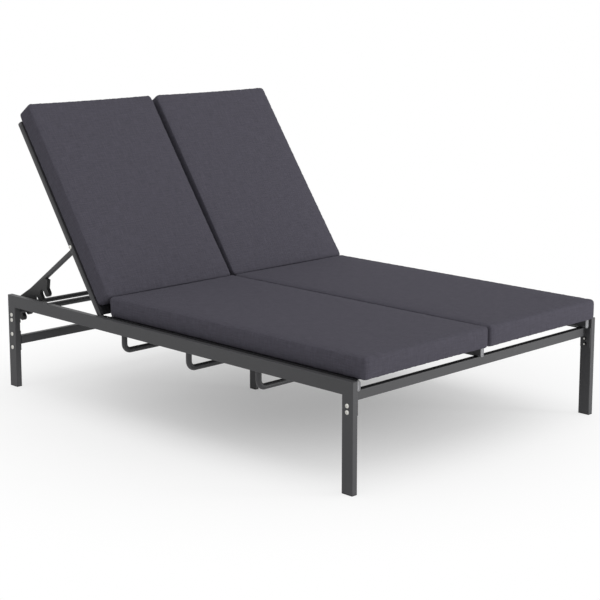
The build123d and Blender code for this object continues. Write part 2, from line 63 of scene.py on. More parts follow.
HINGE = Vector(next(j for j in frame["joints"] if j["name"] == "left_backrest_hinge")["pos_m"])
STRUT_PIVOT = Vector(next(j for j in frame["joints"] if j["name"] == "left_strut_hinge")["pos_m"])
# The raised backrest's angle above the horizontal
RECLINE = math.atan2(STRUT_PIVOT.z - HINGE.z, STRUT_PIVOT.y - HINGE.y)


# Settings

def length_setting(name, description, default):
    """A length among the settings."""
    return bpy.props.FloatProperty(name=name, description=description, default=default, unit="LENGTH")


def place_setting(name, description, default):
    """A place among the settings."""
    return bpy.props.FloatVectorProperty(name=name, description=description, default=default,
                                         subtype="XYZ")


def colour_setting(name, description, default):
    """An sRGB colour among the settings, as a hex value."""
    return bpy.props.StringProperty(name=name, description=description, default=default)


class CushionSizes(bpy.types.PropertyGroup):
    """The sizes of the sewn cushions."""
    grid: length_setting("Grid", "Spacing of the cover's mesh before it is smoothed", 8 * MM)
    seat_edge: length_setting(
        "Seat edge", "Radius between a seat cushion's panel and its side band", 12 * MM)
    back_edge: length_setting(
        "Back edge", "Radius between a back cushion's panel and its side band", 7 * MM)
    corner: length_setting(
        "Corner", "Radius of a panel's four corners, no smaller than the edges", 16 * MM)
    draw: length_setting("Draw-in", "How far a side pulls in between its corners", 2 * MM)
    seam: length_setting("Seam", "Depth of the seam between a panel and the side band", 0.8 * MM)
    swell: length_setting("Swell", "Farthest that a point may move while the cover is inflated", 5 * MM)
    pressure: bpy.props.FloatProperty(
        name="Pressure", description="Pressure of the foam against the cover", default=4)
    crown: length_setting("Crown", "How far the top panel rises above its seams", 4 * MM)
    pucker: length_setting("Pucker", "Height of the small puckers along the seams", 1.3 * MM)
    pucker_reach: length_setting(
        "Pucker reach", "How far the puckers run from a seam into a panel", 16 * MM)
    seat_meeting: length_setting(
        "Seat meeting", "How far a seat cushion swells towards the other one", 1.1 * MM)
    back_meeting: length_setting(
        "Back meeting", "How far a back cushion's lower end swells towards the other one", 4.5 * MM)
    seat_lean: length_setting(
        "Seat lean", "How far a seat cushion's top edge leans to the back cushion", 5.5 * MM)
    back_lean: length_setting(
        "Back lean", "How far a back cushion's front lower edge leans to the seat cushion", 3 * MM)
    lean_reach: length_setting(
        "Lean reach", "Length at the end of a cushion over which it leans", 40 * MM)
    fill: bpy.props.FloatProperty(
        name="Fill", description="How tight a cushion is, from 0 to 1", default=0.85,
        min=0, max=1, subtype="FACTOR")


class FittingSizes(bpy.types.PropertyGroup):
    """The sizes of the metal and plastic fittings."""
    bolt_radius: length_setting("Bolt head", "Radius of a dome head", 6.75 * MM)
    bolt_height: length_setting("Bolt head height", "Height of a dome head", 3.3 * MM)
    shank_radius: length_setting("Shank", "Radius of a bolt's shank", 3 * MM)
    socket: length_setting("Socket", "Half the width across the flats of the hexagon socket", 2.2 * MM)
    socket_depth: length_setting("Socket depth", "Depth of the hexagon socket", 1.9 * MM)
    edge: length_setting("Edge break", "Width of the softened edge on plates and nuts", 0.7 * MM)
    comb_edge: length_setting("Comb edge", "Width of the softened edge on combs", 1.05 * MM)
    cap_lip: length_setting("Cap lip", "Width of the raised rim of an end cap", 2.2 * MM)
    cap_recess: length_setting("Cap recess", "Depth of an end cap's middle below its rim", 1.3 * MM)


class SlingSizes(bpy.types.PropertyGroup):
    """The sizes of the stretched mesh slings."""
    seat_sag: length_setting("Seat sag", "How far a seat sling hangs below its tubes", 4 * MM)
    back_sag: length_setting("Back sag", "How far a backrest sling hangs behind its tubes", 0.8 * MM)
    hem: length_setting("Hem", "Width of the folded hem", 26 * MM)
    cloth: length_setting("Cloth", "Thickness of the mesh cloth", 0.5 * MM)
    fold: length_setting("Fold", "Thickness of the folded hem", 0.96 * MM)
    stitch: length_setting("Stitch", "Length from one stitch to the next", 5 * MM)
    thread: length_setting("Thread", "Radius of a stitch, drawn through the whole hem", 0.7 * MM)


class FinishColours(bpy.types.PropertyGroup):
    """The sRGB colours of the finishes, as hex values."""
    coat: colour_setting("Powder coat", "Charcoal polyester powder coat", "#434345")
    cover: colour_setting("Cushion cover", "Dyed woven olefin", "#4F4D56")
    sling: colour_setting("Sling", "PVC-coated polyester mesh", "#333336")
    caps: colour_setting("End caps", "Grey polyethylene plugs", "#949497")
    combs: colour_setting("Combs", "Black glass-filled nylon", "#222223")
    zinc: colour_setting("Bolts", "Zinc-plated steel", "#D2D1CC")
    screws: colour_setting("Screws", "Blackened steel", "#38383A")
    floor: colour_setting("Floor", "Pale studio floor", "#FAFAFA")


class StudioSizes(bpy.types.PropertyGroup):
    """The camera and the studio."""
    azimuth: bpy.props.FloatProperty(
        name="Azimuth", description="Direction of view", default=math.radians(-44.79), subtype="ANGLE")
    elevation: bpy.props.FloatProperty(
        name="Elevation", description="Height of view above the horizon",
        default=math.radians(9.857), subtype="ANGLE")
    lens: bpy.props.FloatProperty(
        name="Lens", description="Focal length as a share of the picture's side", default=2.54774)
    shift: bpy.props.FloatProperty(
        name="Shift", description="Vertical shift of the lens", default=-0.1)
    stand: place_setting("Camera place", "Camera seen from the foot end's outer face",
                         (-3.4185, -2.6838, 1.3799))
    sky: bpy.props.FloatProperty(
        name="Sky", description="Strength of the even studio light", default=0.5)
    key: bpy.props.FloatProperty(
        name="Key", description="Strength of the soft light from above the foot end", default=1.0)
    side: bpy.props.FloatProperty(
        name="Side", description="Power of the low lamp at the front right", default=125, subtype="POWER")
    aim: place_setting("Aim", "Point that both lamps shine at", (0, 0, 0.3))
    key_place: place_setting("Key place", "Place that the soft light shines from", (-0.2, -0.9, 5.0))
    key_angle: bpy.props.FloatProperty(
        name="Key angle", description="How wide the soft light looks", default=math.radians(50),
        subtype="ANGLE")
    side_place: place_setting("Side place", "Place that the low lamp shines from", (3.2, -4.8, 0.7))
    side_width: length_setting("Side width", "Diameter of the low lamp", 1.4)
    floor_reach: length_setting("Floor reach", "Half the length of the floor's sides", 40)
    # Painted light on the floor: plain white, mixed in more with distance, lightens the lounger's shadow and fades
    # it out
    glow: bpy.props.FloatProperty(
        name="Floor glow", description="Share of plain white in the middle of the floor",
        default=0.3, min=0, max=1, subtype="FACTOR")
    glow_start: length_setting("Glow start", "Distance at which the plain white starts to grow", 0.1)
    glow_end: length_setting("Glow end", "Distance at which the floor is all plain white", 1.5)


# Mesh helpers

def link(name, mesh):
    """A new object with the mesh, at the origin."""
    piece = bpy.data.objects.new(name, mesh)
    bpy.context.scene.collection.objects.link(piece)
    return piece


def settle(piece, body, material):
    """Gives a finished piece its material and the body that it moves with."""
    piece.data.materials.clear()
    piece.data.materials.append(material)
    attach(piece, body)


def baked(piece):
    """Turns a piece with modifiers into a plain mesh."""
    graph = bpy.context.evaluated_depsgraph_get()
    graph.update()
    mesh = bpy.data.meshes.new_from_object(piece.evaluated_get(graph), depsgraph=graph)
    piece.modifiers.clear()
    piece.data = mesh
    return piece


def new_mesh(name, points, faces, smooth=True):
    """A mesh from points and faces, smooth unless said otherwise."""
    mesh = bpy.data.meshes.new(name)
    mesh.from_pydata([tuple(p) for p in points], [], faces)
    mesh.polygons.foreach_set("use_smooth", [smooth] * len(mesh.polygons))
    return mesh


def places(mesh):
    """The mesh's points as an array."""
    found = np.empty(len(mesh.vertices) * 3)
    mesh.vertices.foreach_get("co", found)
    return found.reshape(-1, 3)


def move_to(mesh, points):
    """Moves the mesh's points."""
    mesh.vertices.foreach_set("co", points.ravel())
    mesh.update()


def merged_copy(node):
    """A copy of a CAD node's mesh with its loose triangles joined up."""
    same, flat = 0.01 * MM, math.radians(1)
    mesh = frame["nodes"][node].data.copy()
    shell = bmesh.new()
    shell.from_mesh(mesh)
    bmesh.ops.remove_doubles(shell, verts=shell.verts, dist=same)
    bmesh.ops.dissolve_limit(shell, angle_limit=flat, verts=shell.verts, edges=shell.edges)
    shell.to_mesh(mesh)
    shell.free()
    return mesh


def islands(mesh):
    """The separate solids of a merged mesh, each as an array of its points' numbers."""
    link_to = list(range(len(mesh.vertices)))

    def root(i):
        while link_to[i] != i:
            link_to[i] = link_to[link_to[i]]
            i = link_to[i]
        return i

    for edge in mesh.edges:
        a, b = root(edge.vertices[0]), root(edge.vertices[1])
        if a != b:
            link_to[max(a, b)] = min(a, b)
    groups = {}
    for i in range(len(link_to)):
        groups.setdefault(root(i), []).append(i)
    return [np.array(group) for group in groups.values()]


def directions(node):
    """A node's directions along, up and across: tilted on a backrest, level elsewhere."""
    angle = RECLINE if "back" in node else 0
    along = np.array((0, math.cos(angle), math.sin(angle)))
    up = np.array((0, -math.sin(angle), math.cos(angle)))
    return np.array((along, up, (1, 0, 0)))


def box_of(node):
    """A node's directions, and its lowest and highest places along them."""
    axes = directions(node)
    spans = places(frame["nodes"][node].data) @ axes.T
    return axes, spans.min(axis=0), spans.max(axis=0)


# Materials

def srgb(text):
    """An sRGB hex colour as a linear one."""
    channels = [int(text[i:i + 2], 16) / 255 for i in (1, 3, 5)]
    linear = [c / 12.92 if c <= 0.04045 else ((c + 0.055) / 1.055) ** 2.4 for c in channels]
    return (*linear, 1)


def add(tree, kind, inputs=None, **settings):
    """Adds a node, sets its attributes, and gives each input a value or a link."""
    node = tree.nodes.new(kind)
    for name, value in settings.items():
        setattr(node, name, value)
    for name, value in (inputs or {}).items():
        if isinstance(value, bpy.types.NodeSocket):
            tree.links.new(value, node.inputs[name])
        else:
            node.inputs[name].default_value = value
    return node


def new_material(name):
    """An empty material and its tree."""
    material = bpy.data.materials.new(name)
    material.use_nodes = True
    material.node_tree.nodes.clear()
    return material, material.node_tree


def noise(tree, place, size, detail):
    """Noise with blotches of a real size."""
    inputs = {"Vector": place, "Scale": 1 / size, "Detail": detail}
    return add(tree, "ShaderNodeTexNoise", inputs).outputs["Fac"]


def ranged(tree, value, low, high, start=0, end=1):
    """A value carried over from the range start to end to the range low to high."""
    inputs = {"Value": value, "From Min": start, "From Max": end, "To Min": low, "To Max": high}
    return add(tree, "ShaderNodeMapRange", inputs).outputs["Result"]


def reckoned(tree, operation, *values):
    """What a Math node makes of the values."""
    return add(tree, "ShaderNodeMath", dict(enumerate(values)), operation=operation).outputs[0]


def toned(tree, colour, tone):
    """A colour made lighter and darker by a tone round 1."""
    inputs = {0: 1, 6: srgb(colour), 7: tone}
    return add(tree, "ShaderNodeMix", inputs, data_type="RGBA", blend_type="MULTIPLY").outputs[2]


def bumped(tree, height, strength, depth):
    """Normals that follow a height."""
    inputs = {"Height": height, "Strength": strength, "Distance": depth}
    return add(tree, "ShaderNodeBump", inputs).outputs["Normal"]


def coated(tree, inputs):
    """Ends a material's tree in a Principled surface."""
    shader = add(tree, "ShaderNodeBsdfPrincipled", inputs)
    add(tree, "ShaderNodeOutputMaterial", {"Surface": shader.outputs["BSDF"]})


def seen(tree):
    """1 where the camera sees a thing itself, in a reflection or through a clear surface, else 0."""
    ray = add(tree, "ShaderNodeLightPath").outputs
    mirrored = reckoned(tree, "MAXIMUM", ray["Is Camera Ray"], ray["Is Glossy Ray"])
    return reckoned(tree, "MAXIMUM", mirrored, ray["Is Transmission Ray"])


def powder_coat(name, colour):
    """Sprayed and baked polyester powder: satin, with a fine orange peel that breaks highlights."""
    peel_size, peel_depth, cloud_size = 1.8 * MM, 0.2 * MM, 110 * MM
    material, tree = new_material(name)
    place = add(tree, "ShaderNodeTexCoord").outputs["Object"]
    peel = noise(tree, place, peel_size, detail=2)
    tone = ranged(tree, noise(tree, place, cloud_size, detail=3), low=0.94, high=1.06)
    coated(tree, {"Base Color": toned(tree, colour, tone),
                  "Roughness": ranged(tree, peel, low=0.42, high=0.54),
                  "Normal": bumped(tree, peel, strength=0.08, depth=peel_depth),
                  "Specular IOR Level": 0.35})
    return material


def woven(name, colour, pitch, relief, roughness):
    """Plain weave of matt threads, with thicker slubs that run along them in both directions.

    The real threads are about 0.9 mm apart. They are drawn coarser so that the weave shows.
    """
    slub_length, slub_width = 40 * MM, 4 * MM
    slub_height_share = 2.5
    material, tree = new_material(name)
    place = add(tree, "ShaderNodeUVMap", uv_map="Weave").outputs["UV"]
    apart = add(tree, "ShaderNodeSeparateXYZ", {"Vector": place})
    threads = []
    for axis in ("X", "Y"):
        wave = reckoned(tree, "MULTIPLY", apart.outputs[axis], math.pi / pitch)
        threads.append(reckoned(tree, "ABSOLUTE", reckoned(tree, "SINE", wave)))
    over = add(tree, "ShaderNodeTexChecker", {"Vector": place, "Scale": 1 / pitch}).outputs["Fac"]
    height = add(tree, "ShaderNodeMix", {0: over, 2: threads[0], 3: threads[1]}).outputs[0]
    slubs = []
    for along, across in ((slub_length, slub_width), (slub_width, slub_length)):
        drawn = add(tree, "ShaderNodeMapping", {"Vector": place, "Scale": (1 / along, 1 / across, 1)})
        slubs.append(noise(tree, drawn.outputs[0], 1, detail=2))
    pair = reckoned(tree, "ADD", *slubs)
    tone = ranged(tree, pair, low=0.8, high=1.2, start=0.5, end=1.5)
    # Painted shade and light: the base colour is darker in the hollows between the threads and lighter on their
    # crowns
    painted_shade = ranged(tree, height, low=0.82, high=1.1)
    surface = reckoned(tree, "MULTIPLY_ADD", pair, slub_height_share, height)
    coated(tree, {"Base Color": toned(tree, colour, reckoned(tree, "MULTIPLY", tone, painted_shade)),
                  "Roughness": roughness,
                  "Normal": bumped(tree, surface, strength=0.5, depth=relief),
                  "Specular IOR Level": 0.1})
    return material


def moulded_plastic(name, colour, roughness):
    """Injection-moulded plastic: an even colour with the fine grain of a spark-eroded mould."""
    grain_size, grain_depth, grain_gloss, flow_size = 0.8 * MM, 0.1 * MM, 0.06, 30 * MM
    material, tree = new_material(name)
    place = add(tree, "ShaderNodeTexCoord").outputs["Object"]
    grain = noise(tree, place, grain_size, detail=3)
    tone = ranged(tree, noise(tree, place, flow_size, detail=2), low=0.93, high=1.07)
    gloss = ranged(tree, grain, low=roughness - grain_gloss, high=roughness + grain_gloss)
    coated(tree, {"Base Color": toned(tree, colour, tone), "Roughness": gloss,
                  "Normal": bumped(tree, grain, strength=0.12, depth=grain_depth),
                  "Specular IOR Level": 0.4})
    return material


def plated_steel(name, colour):
    """Electroplated steel: bright metal with the slight clouding of a thin plating."""
    cloud_size = 3 * MM
    material, tree = new_material(name)
    place = add(tree, "ShaderNodeTexCoord").outputs["Object"]
    gloss = ranged(tree, noise(tree, place, cloud_size, detail=3), low=0.28, high=0.45)
    coated(tree, {"Base Color": srgb(colour), "Metallic": 1, "Roughness": gloss})
    return material


def studio_paper(name, colour, studio):
    """Seamless paper: matt and pale, and partly plain white to the camera, so shadows stay soft: painted light
    that lifts the lounger's shadow, more of it farther from the middle, until the shadow fades out.

    From below it is clear, so that the underside of the lounger can be seen.
    """
    material, tree = new_material(name)
    place = add(tree, "ShaderNodeTexCoord").outputs["Object"]
    away = add(tree, "ShaderNodeVectorMath", {0: place}, operation="LENGTH").outputs["Value"]
    # Painted light: the share of plain white grows from glow in the middle to all white at glow_end, which
    # lightens the shadow and fades it out
    painted_light_fade = add(tree, "ShaderNodeMapRange", {"Value": away, "From Min": studio.glow_start,
                                            "From Max": studio.glow_end, "To Min": studio.glow,
                                            "To Max": 1}, interpolation_type="SMOOTHSTEP")
    share = reckoned(tree, "MULTIPLY", seen(tree), painted_light_fade.outputs["Result"])
    paper = add(tree, "ShaderNodeBsdfDiffuse", {"Color": srgb(colour)}).outputs[0]
    white = add(tree, "ShaderNodeEmission", {"Color": (1, 1, 1, 1), "Strength": 1}).outputs[0]
    mixed = add(tree, "ShaderNodeMixShader", {0: share, 1: paper, 2: white}).outputs[0]
    below = add(tree, "ShaderNodeNewGeometry").outputs["Backfacing"]
    clear = add(tree, "ShaderNodeBsdfTransparent").outputs[0]
    sided = add(tree, "ShaderNodeMixShader", {0: below, 1: mixed, 2: clear}).outputs[0]
    add(tree, "ShaderNodeOutputMaterial", {"Surface": sided})
    return material


def finish(name):
    """A finish of this scene, made once."""
    made = bpy.data.materials.get(name)
    if made:
        return made
    colours = bpy.context.scene.lounger_colours
    studio = bpy.context.scene.lounger_studio
    makers = {
        "charcoal_powder_coat": lambda: powder_coat(name, colours.coat),
        "woven_olefin_cover": lambda: woven(
            name, colours.cover, pitch=2.2 * MM, relief=0.5 * MM, roughness=0.9),
        "coated_polyester_mesh": lambda: woven(
            name, colours.sling, pitch=2.8 * MM, relief=0.9 * MM, roughness=0.55),
        "moulded_polyethylene": lambda: moulded_plastic(name, colours.caps, roughness=0.45),
        "moulded_nylon": lambda: moulded_plastic(name, colours.combs, roughness=0.5),
        "bright_zinc_plating": lambda: plated_steel(name, colours.zinc),
        "blackened_steel": lambda: plated_steel(name, colours.screws),
        "studio_paper": lambda: studio_paper(name, colours.floor, studio),
    }
    return makers[name]()


# The finish of each material slot of the record
FINISHES = {
    "powder_coated_steel": "charcoal_powder_coat",
    "zinc_plated_steel": "bright_zinc_plating",
    "screw_steel": "blackened_steel",
    "glide_plastic": "moulded_nylon",
    "cap_plastic": "moulded_polyethylene",
    "comb_plastic": "moulded_nylon",
    "sling_fabric": "coated_polyester_mesh",
    "cushion_fabric": "woven_olefin_cover",
}


def body_of(node):
    """The body that a CAD node belongs to."""
    bodies = frame["record"]["behaviour"]["bodies"]
    return next(body for body, nodes in bodies.items() if node in nodes)


# Geometry Nodes

def new_tree(name, sizes):
    """A node tree with a geometry input and output and a named input for each size."""
    tree = bpy.data.node_groups.new(name, "GeometryNodeTree")
    tree.interface.new_socket(name="Geometry", in_out="INPUT", socket_type="NodeSocketGeometry")
    tree.interface.new_socket(name="Geometry", in_out="OUTPUT", socket_type="NodeSocketGeometry")
    for size, kind in sizes.items():
        tree.interface.new_socket(name=size, in_out="INPUT", socket_type=kind)
    return tree


def run_tree(piece, tree, values):
    """Runs a tree on a piece with the values given, and leaves a plain mesh."""
    modifier = piece.modifiers.new(tree.name, "NODES")
    modifier.node_group = tree
    for item in tree.interface.items_tree:
        if item.in_out == "INPUT" and item.name in values:
            modifier[item.identifier] = values[item.name]
    return baked(piece)


def close_tree(tree, geometry, material):
    """Ends a tree in Realize Instances and Set Material."""
    real = add(tree, "GeometryNodeRealizeInstances", {"Geometry": geometry})
    coat = add(tree, "GeometryNodeSetMaterial", {"Geometry": real.outputs[0], "Material": material})
    add(tree, "NodeGroupOutput", {"Geometry": coat.outputs[0]})


# Cushions

# Lengths shorter than this count as none
TINY = 1e-6


def spaced(length, grid):
    """Places along a side from 0 to its length, closer together beside the seams at its ends."""
    near = [0, 1.5 * MM, 3 * MM, 6 * MM, 12 * MM]
    middle = length - 2 * near[-1]
    steps = max(2, round(middle / grid))
    inner = [near[-1] + middle * i / steps for i in range(1, steps)]
    return np.array(near + inner + [length - place for place in reversed(near)])


def cover_mesh(name, spans, edge, sizes):
    """A closed box of quads with rounded edges and drawn-in sides, with a real-size weave map."""
    lines = [spaced(span, sizes.grid) - span / 2 for span in spans]
    half = np.array(spans) / 2
    numbers, points, faces, weave = {}, [], [], []

    def number(key):
        if key not in numbers:
            numbers[key] = len(points)
            points.append([lines[axis][key[axis]] for axis in range(3)])
        return numbers[key]

    for axis in range(3):
        first, second = (axis + 1) % 3, (axis + 2) % 3
        for end in (0, len(lines[axis]) - 1):
            for i in range(len(lines[first]) - 1):
                for j in range(len(lines[second]) - 1):
                    corners = [(i, j), (i + 1, j), (i + 1, j + 1), (i, j + 1)]
                    if end == 0:
                        corners.reverse()
                    keys = []
                    for a, b in corners:
                        key = [0, 0, 0]
                        key[axis], key[first], key[second] = end, a, b
                        keys.append(tuple(key))
                    faces.append([number(key) for key in keys])
                    weave += [(lines[first][key[first]], lines[second][key[second]]) for key in keys]
    points = np.array(points)
    at_end, at_panel, at_side = (np.abs(np.abs(points) - half) < TINY).T
    seams = at_panel & (at_end | at_side)
    # Near a panel's corners, square rings of the mesh become round ones
    past = np.maximum(np.abs(points[:, (0, 2)]) - half[[0, 2]] + sizes.corner, 0)
    reach = past.max(axis=1)
    turned = past / np.maximum(np.hypot(*past.T), TINY)[:, None]
    # Between a panel and the side band, the section becomes a quarter circle
    out = np.maximum(reach - sizes.corner + edge, 0)
    rise = np.maximum(np.abs(points[:, 1]) - half[1] + edge, 0)
    pull = 1 - edge / np.maximum(np.hypot(out, rise), edge)
    points[:, (0, 2)] -= np.sign(points[:, (0, 2)]) * (past - turned * (reach - out * pull)[:, None])
    points[:, 1] -= np.sign(points[:, 1]) * rise * pull
    along, across = points[:, 0] / half[0], points[:, 2] / half[2]
    steep = 8
    points[:, 0] -= sizes.draw * np.sign(along) * np.abs(along) ** steep * (1 - across ** 2)
    points[:, 2] -= sizes.draw * np.sign(across) * np.abs(across) ** steep * (1 - along ** 2)
    mesh = new_mesh(name, points, faces)
    mesh.uv_layers.new(name="Weave").data.foreach_set("uv", np.array(weave).ravel())
    return mesh, np.flatnonzero(seams)


def inflate(piece, seams, sizes):
    """Blows the panels up between their seams with cloth simulation and limits how far they move."""
    frames = 20
    rest = places(piece.data)
    held = piece.vertex_groups.new(name="Seams")
    held.add(seams.tolist(), 1, "REPLACE")
    cloth = piece.modifiers.new("Cover", "CLOTH")
    setup = cloth.settings
    setup.quality = 5
    setup.mass = 0.3
    setup.tension_stiffness = 20
    setup.compression_stiffness = 20
    setup.shear_stiffness = 6
    setup.bending_stiffness = 0.5
    setup.use_pressure = True
    setup.uniform_pressure_force = sizes.pressure
    setup.effector_weights.gravity = 0
    setup.vertex_group_mass = held.name
    cloth.collision_settings.use_collision = False
    scene = bpy.context.scene
    for step in range(1, frames + 1):
        scene.frame_set(step)
    baked(piece)
    scene.frame_set(1)
    moved = places(piece.data) - rest
    far = np.linalg.norm(moved, axis=1, keepdims=True)
    move_to(piece.data, rest + moved / (1 + far / sizes.swell))


def stretch_to(points, column, low, high):
    """Stretches the points along one axis so that they run from low to high."""
    least, most = points[:, column].min(), points[:, column].max()
    points[:, column] = low + (points[:, column] - least) * (high - low) / (most - least)


def pucker(points, half, edge, sizes, seed):
    """Small puckers that run from the seams into the panels and the side band."""
    wave_lengths = (13 * MM, 19 * MM, 31 * MM, 57 * MM)
    draws = np.random.default_rng(seed)
    waves = []
    for length in wave_lengths:
        waves.append((2 * math.pi / length, draws.uniform(0, 2 * math.pi, 2)))

    def ripple(place, row):
        return sum(np.sin(place * rate + turn[row]) for rate, turn in waves) / len(waves)

    x, y, z = points.T.copy()
    to_end = np.exp(-np.maximum(half[0] - np.abs(x), 0) / sizes.pucker_reach)
    to_side = np.exp(-np.maximum(half[2] - np.abs(z), 0) / sizes.pucker_reach)
    to_top = np.exp(-np.maximum(half[1] - np.abs(y), 0) / sizes.pucker_reach)
    on_end, on_panel, on_side = np.clip(1 - (half - np.abs(points)) / edge, 0, 1).T * np.sign((x, y, z))
    rise = sizes.pucker
    points[:, 1] += rise * on_panel * (to_side * ripple(x, 0) + to_end * ripple(z, 1))
    points[:, 0] += rise * on_end * to_top * ripple(z, 1)
    points[:, 2] += rise * on_side * to_top * ripple(x, 0)


COVERS = {}


def cover(kind, spans, edge, sizes):
    """The inflated, smoothed cover of a kind of cushion, made once and centred on the origin."""
    if kind not in COVERS:
        mesh, seams = cover_mesh(kind + "_cover", spans, edge, sizes)
        piece = link(kind + "_cover", mesh)
        inflate(piece, seams, sizes)
        points = places(piece.data)
        core = np.array(spans) / 2 - edge
        inward = points[seams] - np.clip(points[seams], -core, core)
        points[seams] -= inward / np.linalg.norm(inward, axis=1, keepdims=True) * sizes.seam
        move_to(piece.data, points)
        finer = piece.modifiers.new("Smooth", "SUBSURF")
        finer.levels = finer.render_levels = 1
        COVERS[kind] = baked(piece).data
        bpy.data.objects.remove(piece)
    return COVERS[kind]


def make_cushion(side, kind, seed):
    """One sewn cushion in the place of its CAD solid."""
    sizes = bpy.context.scene.lounger_cushions
    node = f"{side}_{kind}_cushion"
    axes, low, high = box_of(node)
    spans = high - low
    edge = getattr(sizes, kind + "_edge")
    mesh = cover(kind, spans, edge, sizes).copy()
    points = places(mesh)
    # The right cover is the left one turned end for end
    if side == "right":
        points[:, (0, 2)] *= -1
    half = spans / 2
    stretch_to(points, 0, -half[0], half[0])
    stretch_to(points, 2, -half[2], half[2])
    over = np.maximum(points[:, 1], 0)
    steep = 6
    rise = 1 - np.clip(np.abs(points[:, 0]) / half[0], 0, 1) ** steep
    rise *= 1 - np.clip(np.abs(points[:, 2]) / half[2], 0, 1) ** steep
    points[:, 1] = np.minimum(points[:, 1], half[1])
    points[:, 1] += sizes.crown * rise * (over / half[1]) ** 2
    pucker(points, half, edge, sizes, seed)
    points[:, 1] = np.maximum(points[:, 1], -half[1])
    to_middle = 1 if side == "left" else -1
    to_hinge = 1 if kind == "seat" else -1
    near_hinge = np.clip(1 - (half[0] - to_hinge * points[:, 0]) / sizes.lean_reach, 0, 1) ** 2
    share_up = np.clip(0.5 + points[:, 1] / spans[1], 0, 1)
    points[:, 0] += to_hinge * getattr(sizes, kind + "_lean") * near_hinge * share_up
    meeting = getattr(sizes, kind + "_meeting") * np.clip(to_middle * points[:, 2] / half[2], 0, 1)
    if kind == "back":
        meeting *= np.clip(0.5 - points[:, 0] / spans[0], 0, 1)
    points[:, 2] += to_middle * meeting
    move_to(mesh, (points + (low + high) / 2) @ axes)
    piece = link(node + "_cover", mesh)
    settle(piece, body_of(node), finish("woven_olefin_cover"))
    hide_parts(node)


class LOUNGER_OT_cushions(bpy.types.Operator):
    """Sews and fills the two seat cushions and the two back cushions"""
    bl_idname = "lounger.cushions"
    bl_label = "Cushions"

    def execute(self, context):
        for number, side in enumerate(SIDES):
            for kind, first_seed in (("seat", 0), ("back", 10)):
                make_cushion(side, kind, first_seed + number)
        return {"FINISHED"}


# Slings

def sheet_mesh(name, lengths, widths, height, wall, skip=None):
    """A thin level sheet on a grid, with a real-size weave map, leaving out what skip says."""
    points, faces, weave = [], [], []
    for i, length in enumerate(lengths):
        for j, width in enumerate(widths):
            points.append((length, height(length, width), width))
    for i in range(len(lengths) - 1):
        for j in range(len(widths) - 1):
            if skip and skip(i, j):
                continue
            start = i * len(widths) + j
            face = (start, start + 1, start + len(widths) + 1, start + len(widths))
            faces.append(face)
            weave += [(points[n][0], points[n][2]) for n in face]
    mesh = new_mesh(name, points, faces)
    mesh.uv_layers.new(name="Weave").data.foreach_set("uv", np.array(weave).ravel())
    piece = link(name, mesh)
    thick = piece.modifiers.new("Wall", "SOLIDIFY")
    thick.thickness = wall
    thick.offset = 0
    return piece


def stitched(name, lines, sizes, material):
    """Stitches along lines, each line given as its points, by Geometry Nodes."""
    points, edges = [], []
    for line in lines:
        edges += [(len(points) + n, len(points) + n + 1) for n in range(len(line) - 1)]
        points += [tuple(p) for p in line]
    mesh = bpy.data.meshes.new(name)
    mesh.from_pydata(points, edges, [])
    piece = link(name, mesh)
    tree = new_tree("Stitches", {"Step": "NodeSocketFloat", "Thread": "NodeSocketFloat"})
    given = add(tree, "NodeGroupInput")
    curve = add(tree, "GeometryNodeMeshToCurve", {"Mesh": given.outputs["Geometry"]})
    even = add(tree, "GeometryNodeResampleCurve", {"Curve": curve.outputs[0],
                                                   "Length": given.outputs["Step"]}, mode="LENGTH")
    shown_share = 0.7
    length = reckoned(tree, "MULTIPLY", given.outputs["Step"], shown_share)
    thread = add(tree, "GeometryNodeMeshCylinder",
                 {"Vertices": 6, "Radius": given.outputs["Thread"], "Depth": length})
    turn = add(tree, "FunctionNodeAlignRotationToVector",
               {"Vector": add(tree, "GeometryNodeInputTangent").outputs[0]}, axis="Z")
    many = add(tree, "GeometryNodeInstanceOnPoints",
               {"Points": even.outputs[0], "Instance": thread.outputs[0], "Rotation": turn.outputs[0]})
    close_tree(tree, many.outputs[0], material)
    run_tree(piece, tree, {"Step": sizes.stitch, "Thread": sizes.thread})
    return piece


def make_sling(node, sag):
    """A stretched mesh sheet that sags between its tubes, with folded and stitched hems."""
    sizes = bpy.context.scene.lounger_slings
    axes, low, high = box_of(node)
    spans = high - low
    middle = (low + high) / 2
    lines_along, lines_across = 65, 45
    lengths = np.linspace(-spans[0] / 2, spans[0] / 2, lines_along)
    widths = np.linspace(-spans[2] / 2, spans[2] / 2, lines_across)
    on_tube, roundness = 15 * MM, 1.2
    outer_row, inner_row = 3 * MM, sizes.hem - 4 * MM

    def level(length, width):
        share = (spans[2] / 2 - on_tube - abs(width)) / (spans[2] / 2 - on_tube)
        return -sag * math.sin(max(share, 0) * math.pi / 2) ** roundness

    def hem_lines(inset):
        along, across = spans[0] / 2 - inset, spans[2] / 2 - inset
        sides = [[(place, level(place, end), end) for place in lengths if abs(place) < along]
                 for end in (-across, across)]
        ends = [[(end, level(end, place), place) for place in widths if abs(place) < across]
                for end in (-along, along)]
        return sides + ends

    body, material = body_of(node), finish("coated_polyester_mesh")
    cloth = baked(sheet_mesh(node + "_cloth", lengths, widths, level, sizes.cloth))
    edges = np.array([-sizes.hem, sizes.hem])
    rows = np.sort(np.concatenate([lengths, np.sign(edges) * spans[0] / 2 - edges]))
    columns = np.sort(np.concatenate([widths, np.sign(edges) * spans[2] / 2 - edges]))

    def inside(i, j):
        return (abs(rows[i] + rows[i + 1]) / 2 < spans[0] / 2 - sizes.hem
                and abs(columns[j] + columns[j + 1]) / 2 < spans[2] / 2 - sizes.hem)

    hem = baked(sheet_mesh(node + "_hem", rows, columns, level, sizes.fold, inside))
    rows_of_stitches = hem_lines(outer_row) + hem_lines(inner_row)
    seam = stitched(node + "_stitches", rows_of_stitches, sizes, material)
    for piece in (cloth, hem, seam):
        move_to(piece.data, (places(piece.data) + middle) @ axes)
        settle(piece, body, material)
    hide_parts(node)


